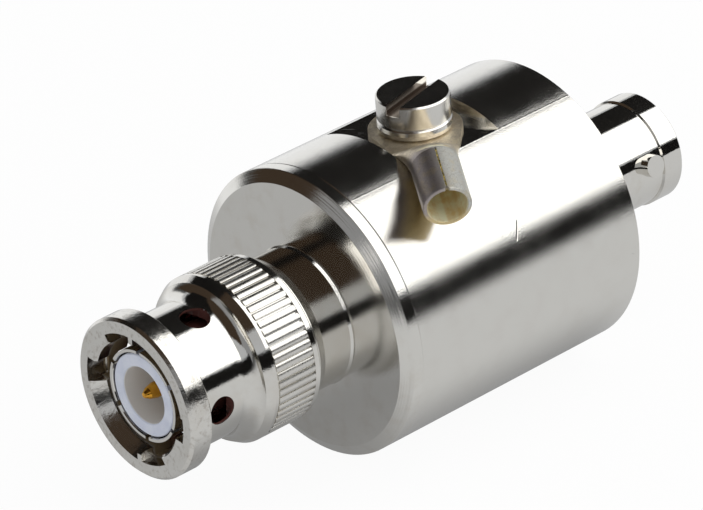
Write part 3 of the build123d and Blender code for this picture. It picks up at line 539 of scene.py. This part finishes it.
# %% Give every solid its finish
FINISH = {
    "housing_tube": satin_nickel, "front_cap": cap_nickel, "rear_cap": cap_nickel,
    "neck_sleeve": sleeve_nickel, "plug_body": mirror_nickel, "outer_contact": contact_nickel,
    "coupling_nut": nut_nickel, "closing_ring": washer_nickel, "jack_body": mirror_nickel,
    "jack_lock_ring": mirror_nickel, "earth_screw": screw_nickel, "lock_washer": washer_nickel,
    "plug_insulator": bored_ptfe, "jack_insulator": ptfe, "plug_pin": gold, "jack_contact": gold,
    "gasket": silicone, "ring_lug": lug_tin, "wave_spring": spring_steel, "thrust_washer": spring_steel,
    "earth_bush": brass, "circuit_board": board, "gas_tube_ceramic": ceramic,
    "gas_tube_line_end": tin, "gas_tube_earth_end": tin, "resistor_body": lacquer,
    "resistor_leads": tin, "diode_body": epoxy, "diode_leads": tin, "plug_lead": tin,
    "jack_lead": tin, "earth_lead": tin,
}
for name, finish in FINISH.items():
    for slot in nodes[name].material_slots:
        slot.material = finish
print("finished nodes", len(FINISH))

# %% [markdown]
# ## Wave spring
# One turn of wavy strip presses the nut back, and flattens when the nut is pulled. A copy
# of its mesh stands for it, with its loose triangles merged into one skin. A solid can't
# do that, so a copy of its mesh stands for it.

# %% Wave spring
spring = bpy.data.objects.new("working_wave_spring", nodes["wave_spring"].data.copy())
bpy.context.scene.collection.objects.link(spring)
bpy.ops.object.select_all(action="DESELECT")
spring.select_set(True)
bpy.context.view_layer.objects.active = spring
bpy.ops.object.mode_set(mode="EDIT")
bpy.ops.mesh.select_all(action="SELECT")
bpy.ops.mesh.remove_doubles(threshold=0.001 * MM)
bpy.ops.mesh.normals_make_consistent(inside=False)
bpy.ops.object.mode_set(mode="OBJECT")
bpy.ops.object.shade_smooth_by_angle(angle=math.radians(35))
spring.data.materials.clear()
spring.data.materials.append(spring_steel)
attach(spring, "unit")
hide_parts("wave_spring")
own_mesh(spring)

# %% [markdown]
# ## Braze in the lug's seam
# The rolled edges of the barrel meet in a narrow groove along its top, and the braze that
# closes it stands up in small golden lumps. A row of spheres would look like a string of
# pearls, so one thin rod lies along the groove, is divided along its length, and each ring
# of its points is made thicker or thinner and pushed a little sideways by chance.

# %% Braze bead
BEAD_R = 0.13 * MM
BEAD_LONG = 4.5 * MM
BEAD_SIDES = 10
BEAD_CUTS = 70
BEAD_FROM_MOUTH = 0.35 * MM
BEAD_SUNK = 0.07 * MM
BEAD_THIN, BEAD_THICK, BEAD_TIP = 0.45, 1.05, 0.2
BEAD_SWAY = 0.07
BEAD_FLATNESS = 0.6
chance = random.Random(7)
bead_rise = BARREL_UP * (BARREL_BORE_R + BARREL_WALL - BEAD_SUNK)
bead_top = BARREL_MOUTH - BARREL_DIR * BEAD_FROM_MOUTH + bead_rise
bead_mid = bead_top - BARREL_DIR * BEAD_LONG / 2
bpy.ops.object.select_all(action="DESELECT")
bpy.ops.mesh.primitive_cylinder_add(vertices=BEAD_SIDES, radius=BEAD_R, depth=BEAD_LONG,
                                    end_fill_type="TRIFAN")
bead = bpy.context.object
bead.name = "braze_bead"
bpy.ops.object.mode_set(mode="EDIT")
bpy.ops.mesh.select_mode(type="EDGE")
bpy.ops.mesh.select_all(action="DESELECT")
bpy.ops.object.mode_set(mode="OBJECT")
for edge in bead.data.edges:
    ends = [bead.data.vertices[i].co for i in edge.vertices]
    edge.select = abs(ends[0].z - ends[1].z) > BEAD_LONG / 2
bpy.ops.object.mode_set(mode="EDIT")
bpy.ops.mesh.subdivide(number_cuts=BEAD_CUTS)
bpy.ops.object.mode_set(mode="OBJECT")
levels = sorted({round(v.co.z / MM, 4) for v in bead.data.vertices})
swell = {z: chance.uniform(BEAD_THIN, BEAD_THICK) for z in levels}
sway = {z: chance.uniform(-BEAD_SWAY, BEAD_SWAY) * MM for z in levels}
swell[levels[0]] = BEAD_TIP
swell[levels[-1]] = BEAD_TIP
for point in bead.data.vertices:
    z = round(point.co.z / MM, 4)
    point.co.x = point.co.x * swell[z] + sway[z]
    point.co.y = point.co.y * swell[z] * BEAD_FLATNESS
lying = Matrix((BARREL_SIDE, BARREL_UP, -BARREL_DIR)).transposed().to_4x4()
bead.data.transform(Matrix.Translation(bead_mid) @ lying)
bpy.ops.object.mode_set(mode="EDIT")
bpy.ops.mesh.select_all(action="SELECT")
bpy.ops.mesh.normals_make_consistent(inside=False)
bpy.ops.object.mode_set(mode="OBJECT")
bpy.ops.object.shade_smooth()
braze = textured("brass_braze", "#d8bd62", "#a8a070", 0.3, 1.0, 0.12, 0.01)
bead.data.materials.append(braze)
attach(bead, "unit")
print("braze bead", len(bead.data.polygons), "faces")

# %% [markdown]
# ## Camera
# A long lens from 0.4 m away looks down along the unit at 28 degrees. Its place and turn
# were worked out from the circles of the connectors in the photograph.

# %% Camera
CAMERA_AT = Vector((-202.505, -269.654, 190.403)) * MM
RIGHT = Vector((0.73813, -0.67035, -0.07638))
UP = Vector((0.36673, 0.30365, 0.87942))
LENS = 247.33
lens = bpy.data.cameras.new("photo_camera")
lens.lens = LENS
lens.sensor_width = 36
lens.clip_start = 0.01
camera = bpy.data.objects.new("photo_camera", lens)
bpy.context.scene.collection.objects.link(camera)
turn = Matrix((RIGHT, UP, RIGHT.cross(UP))).transposed()
camera.matrix_world = Matrix.Translation(CAMERA_AT) @ turn.to_4x4()
bpy.context.scene.camera = camera
print("camera", tuple(round(v, 3) for v in CAMERA_AT), "lens", LENS)

# %% [markdown]
# ## Studio
# Plated metal is lit by what it mirrors. One large softbox hangs over the front, a pale
# sweep lies just under the unit, and two black cards leave the dark bands that give the
# metal its form: a wide one high behind it and a narrow one in front, under the softbox.
# Angles here are counted around the unit's axis, from straight behind it over the top.

# %% Sweep
AXIS_MID = Vector((28.0, 0.0, 0.0)) * MM
FLOOR_Z = -BODY_R - 0.2 * MM
FLOOR_FRONT = -0.16
FLOOR_BACK = 0.4
RISE_FROM = FLOOR_BACK + 0.02
RISE_STEPS = ((0.03, 0.09), (0.07, 0.04), (0.13, 0.01))
SWEEP_HALF = 0.9


def studio_card(name, middle, across, up, length, width):
    """A flat card round a middle point, with its two edge directions and sizes."""
    bpy.ops.object.select_all(action="DESELECT")
    bpy.ops.mesh.primitive_plane_add(size=1)
    card = bpy.context.object
    card.name = name
    edges = Matrix((across * length, up * width, across.cross(up))).transposed().to_4x4()
    card.data.transform(Matrix.Translation(middle) @ edges)
    return card


def around(angle, distance):
    """A point beside the middle of the unit, at an angle round its axis."""
    a = math.radians(angle)
    return AXIS_MID + Vector((0, math.cos(a), math.sin(a))) * distance


def paper(name, front, back):
    """A level stretch of paper between two places in depth."""
    middle = Vector((AXIS_MID.x, (front + back) / 2, FLOOR_Z))
    return studio_card(name, middle, X_AXIS, Y_AXIS, 2 * SWEEP_HALF, back - front)


floor = paper("floor", FLOOR_FRONT, FLOOR_BACK)
print("floor", round(FLOOR_BACK - FLOOR_FRONT, 2), "m deep")

# %% [markdown]
# ## The rise behind
# Behind the floor the paper curves up. It matters in reflections, but it would hide the
# unit from a camera that looks from behind. So it is a piece of its own, which the metal
# sees and the camera doesn't.

# %% Backdrop
backdrop = paper("backdrop", FLOOR_BACK, RISE_FROM)
bpy.ops.object.mode_set(mode="EDIT")
bpy.ops.mesh.select_mode(type="EDGE")
bpy.ops.mesh.select_all(action="DESELECT")
bpy.ops.object.mode_set(mode="OBJECT")
for edge in backdrop.data.edges:
    ends = [backdrop.data.vertices[i].co for i in edge.vertices]
    edge.select = all(end.y > (FLOOR_BACK + RISE_FROM) / 2 for end in ends)
bpy.ops.object.mode_set(mode="EDIT")
for rise, reach in RISE_STEPS:
    bpy.ops.mesh.extrude_region_move(TRANSFORM_OT_translate={"value": (0, reach, rise)})
bpy.ops.object.mode_set(mode="OBJECT")
bpy.ops.object.shade_smooth()
backdrop.visible_camera = False
backdrop.visible_shadow = False
print("backdrop", len(backdrop.data.polygons), "faces, floor at", round(FLOOR_Z / MM, 2), "mm")

# %% [markdown]
# ## What the metal sees of the paper
# To the camera the paper is white. In the metal it is not: the photograph's lower
# reflections are a middle grey in front of the unit, darker under it, bright further back
# and nearly black to the left. So reflections see the paper glow at a level that changes
# over it, while softer light meets it as plain paper.

# %% How bright reflections see the sweep
MIDDLE_GREY, FRONT_GREY, BACK_EXTRA = 0.52, 0.7, 0.52
SHADED = 0.55
LEFT_DARK = 0.03
pale, tree, shader, place = material("pale_paper_sweep", "#e9e9e9", 0.9)
ahead = along(tree, place, (0, 0, 0), -Y_AXIS)
rightward = along(tree, place, (0, 0, 0), X_AXIS)
front_grey = ramp(tree, ahead, -0.012, 0.022, MIDDLE_GREY, FRONT_GREY)
back_bright = ramp(tree, ahead, -0.04, -0.1, 0.0, BACK_EXTRA)
beneath = window(tree, rightward, 0.0, BODY_BACK + 0.004, 0.006)
# painted shadow: the glow seen in reflections is darker under the unit
under = times(tree, window(tree, ahead, -0.01, 0.011, 0.009), beneath)
level = times(tree, plus(tree, front_grey, back_bright), ramp(tree, under, 0, 1, 1.0, SHADED))
# painted darkness: the glow falls nearly to black towards the left
level = times(tree, level, ramp(tree, rightward, -0.12, -0.03, LEFT_DARK, 1.0))

# %% Sweep material
SEEN_SHARE = 0.95
MIRRORED_SHARE = 0.9
seen = add(tree, "ShaderNodeLightPath")
glossy, passed = seen.outputs["Is Glossy Ray"], seen.outputs["Is Transmission Ray"]
mirrored = add(tree, "ShaderNodeMath", {0: glossy, 1: passed}, operation="MAXIMUM")
glow_white = add(tree, "ShaderNodeEmission", {"Color": linear("#ffffff"), "Strength": 1.0})
glow_grey = add(tree, "ShaderNodeEmission", {"Color": linear("#fdfeff"), "Strength": level})
share_seen = times(tree, seen.outputs["Is Camera Ray"], SEEN_SHARE)
share_mirrored = times(tree, mirrored.outputs[0], MIRRORED_SHARE)
first = add(tree, "ShaderNodeMixShader", {0: share_seen, 1: shader.outputs[0], 2: glow_white.outputs[0]})
both = add(tree, "ShaderNodeMixShader", {0: share_mirrored, 1: first.outputs[0], 2: glow_grey.outputs[0]})
tree.links.new(both.outputs[0], tree.nodes["Material Output"].inputs["Surface"])
for stretch in (floor, backdrop):
    stretch.data.materials.append(pale)
print("sweep material", pale.name)

# %% Softbox
SOFT_FROM, SOFT_TO = 85.0, 161.0
SOFT_AWAY = 0.55
SOFT_LONG = 1.2
SOFT_SHIFT = 0.5
SOFT_BRIGHT = 1.36
soft_mid = (SOFT_FROM + SOFT_TO) / 2
soft_wide = 2 * SOFT_AWAY * math.tan(math.radians((SOFT_TO - SOFT_FROM) / 2))
light = bpy.data.lights.new("softbox", "AREA")
light.shape = "RECTANGLE"
light.size = SOFT_LONG
light.size_y = soft_wide
light.color = linear("#fffdf8")[:3]
light.energy = SOFT_BRIGHT * math.pi * SOFT_LONG * soft_wide
softbox = bpy.data.objects.new("softbox", light)
bpy.context.scene.collection.objects.link(softbox)
out = (around(soft_mid, 1.0) - AXIS_MID).normalized()
soft_turn = Matrix((X_AXIS, out.cross(X_AXIS), out)).transposed().to_4x4()
soft_at = around(soft_mid, SOFT_AWAY) + X_AXIS * SOFT_SHIFT
softbox.matrix_world = Matrix.Translation(soft_at) @ soft_turn
softbox.visible_camera = False
print("softbox", round(soft_wide, 3), "m wide, energy", round(light.energy, 2))

# %% [markdown]
# ## Cards
# The two black cards stand around the unit's axis. More stand to its left, where only
# chamfers, fillets and end faces look: a brown gloom behind and above, the grey side of
# the room, and one small white card that lights the front edge of the chamfer. All of
# them show in reflections alone, so they throw no shadow and tint no light.

# %% Card colours
black = material("black_velvet_card", "#100d0a", 1.0)[0]


def glowing(name, color):
    """A card that gives off one colour, whatever falls on it."""
    made = bpy.data.materials.new(name)
    made.use_nodes = True
    tree = made.node_tree
    tree.nodes.clear()
    glow = add(tree, "ShaderNodeEmission", {"Color": linear(color), "Strength": 1.0})
    add(tree, "ShaderNodeOutputMaterial", {"Surface": glow.outputs[0]})
    return made


gloom = glowing("brown_gloom", "#42372d")
dim_wall = glowing("dim_wall", "#97989a")
white_card = glowing("white_card", "#f2f2f2")


def hidden_card(name, middle, across, up, length, width, finish):
    """A card that shows only in reflections."""
    card = studio_card(name, middle, across, up, length, width)
    card.data.materials.append(finish)
    card.visible_camera = False
    card.visible_diffuse = False
    card.visible_shadow = False
    return card


def black_card(name, start, end, away, length, shift):
    """A black card between two angles round the unit."""
    middle = around((start + end) / 2, away)
    out = (middle - AXIS_MID).normalized()
    wide = 2 * away * math.tan(math.radians((end - start) / 2))
    return hidden_card(name, middle + X_AXIS * shift, X_AXIS, out.cross(X_AXIS), length, wide, black)


# %% Cards round the axis
high_card = black_card("high_black_card", start=27, end=83, away=0.45, length=1.6, shift=0.3)
low_card = black_card("low_black_card", start=163.5, end=185, away=0.2, length=1.2, shift=0.2)
print("cards round the axis", high_card.name, low_card.name)

# %% Gloom behind and above
BEHIND_TURN = math.radians(53)
BEHIND_AWAY = 0.5
BEHIND_LONG, BEHIND_HIGH = 0.364, 0.81
BEHIND_MIDDLE_HIGH = 0.39
ABOVE_AWAY = 0.45
ABOVE_LONG, ABOVE_WIDE = 0.64, 0.4
behind_way = Vector((-math.cos(BEHIND_TURN), math.sin(BEHIND_TURN), 0))
behind_at = behind_way * BEHIND_AWAY + Z_AXIS * BEHIND_MIDDLE_HIGH
behind_across = behind_way.cross(Z_AXIS)
hidden_card("gloom_behind", behind_at, behind_across, Z_AXIS, BEHIND_LONG, BEHIND_HIGH, gloom)
above_way = Vector((-0.6, -0.05, 0.8)).normalized()
above_up = above_way.cross(Y_AXIS).normalized()
above_across = above_up.cross(above_way)
hidden_card("gloom_above", above_way * ABOVE_AWAY, above_across, above_up, ABOVE_LONG, ABOVE_WIDE, gloom)
print("gloom behind", BEHIND_HIGH, "m high, gloom above", ABOVE_LONG, "m long")

# %% Side wall and small white card
WALL_AT = Vector((-0.46, 0.0, 0.12))
WALL_LONG, WALL_HIGH = 0.66, 0.27
WHITE_AT = Vector((-0.45, -0.01, 0.09))
WHITE_SIDE = 0.08
hidden_card("dim_side_wall", WALL_AT, Y_AXIS, Z_AXIS, WALL_LONG, WALL_HIGH, dim_wall)
hidden_card("small_white_card", WHITE_AT, Y_AXIS, Z_AXIS, WHITE_SIDE, WHITE_SIDE, white_card)
print("side wall", WALL_LONG, "by", WALL_HIGH, "m, white card", WHITE_SIDE, "m square")

# %% World
world = bpy.data.worlds.new("studio_room")
bpy.context.scene.world = world
world.use_nodes = True
tree = world.node_tree
tree.nodes.clear()
seen = add(tree, "ShaderNodeLightPath")
white = add(tree, "ShaderNodeBackground", {"Color": linear("#ffffff"), "Strength": 1.0})
room = add(tree, "ShaderNodeBackground", {"Color": linear("#c4c6c9"), "Strength": 1.0})
to_camera = seen.outputs["Is Camera Ray"]
shown = add(tree, "ShaderNodeMixShader", {0: to_camera, 1: room.outputs[0], 2: white.outputs[0]})
add(tree, "ShaderNodeOutputWorld", {"Surface": shown.outputs[0]})

# %% View settings
bpy.context.scene.view_settings.view_transform = "Standard"
